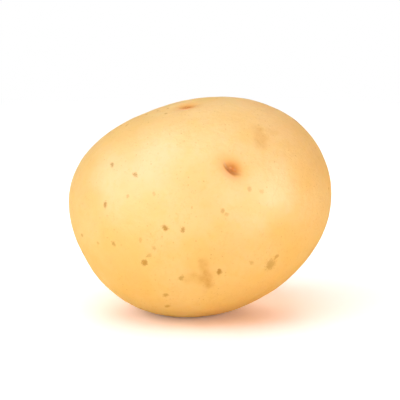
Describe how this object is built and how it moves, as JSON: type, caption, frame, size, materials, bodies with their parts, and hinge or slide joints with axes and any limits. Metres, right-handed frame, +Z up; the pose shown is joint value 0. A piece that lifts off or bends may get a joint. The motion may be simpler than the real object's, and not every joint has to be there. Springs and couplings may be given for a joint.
{
  "type": "potato",
  "caption": "Whole table potato with thin smooth yellow skin, shallow eyes and a stem scar, lying on a small flat spot.",
  "frame": {"origin": "on the ground plane, under the middle of the potato's bounding box", "axes": "+Z up; +X along the potato's length, towards the lifted rose end; -Y is the front"},
  "size_m": [0.0738, 0.058, 0.0609],
  "materials": {
    "skin": "thin smooth potato skin, pale cream-gold, satin, with fine lenticels and orange-brown eyes"
  },
  "bodies": {
    "root": {"potato": "skin"}
  },
  "joints": []
}
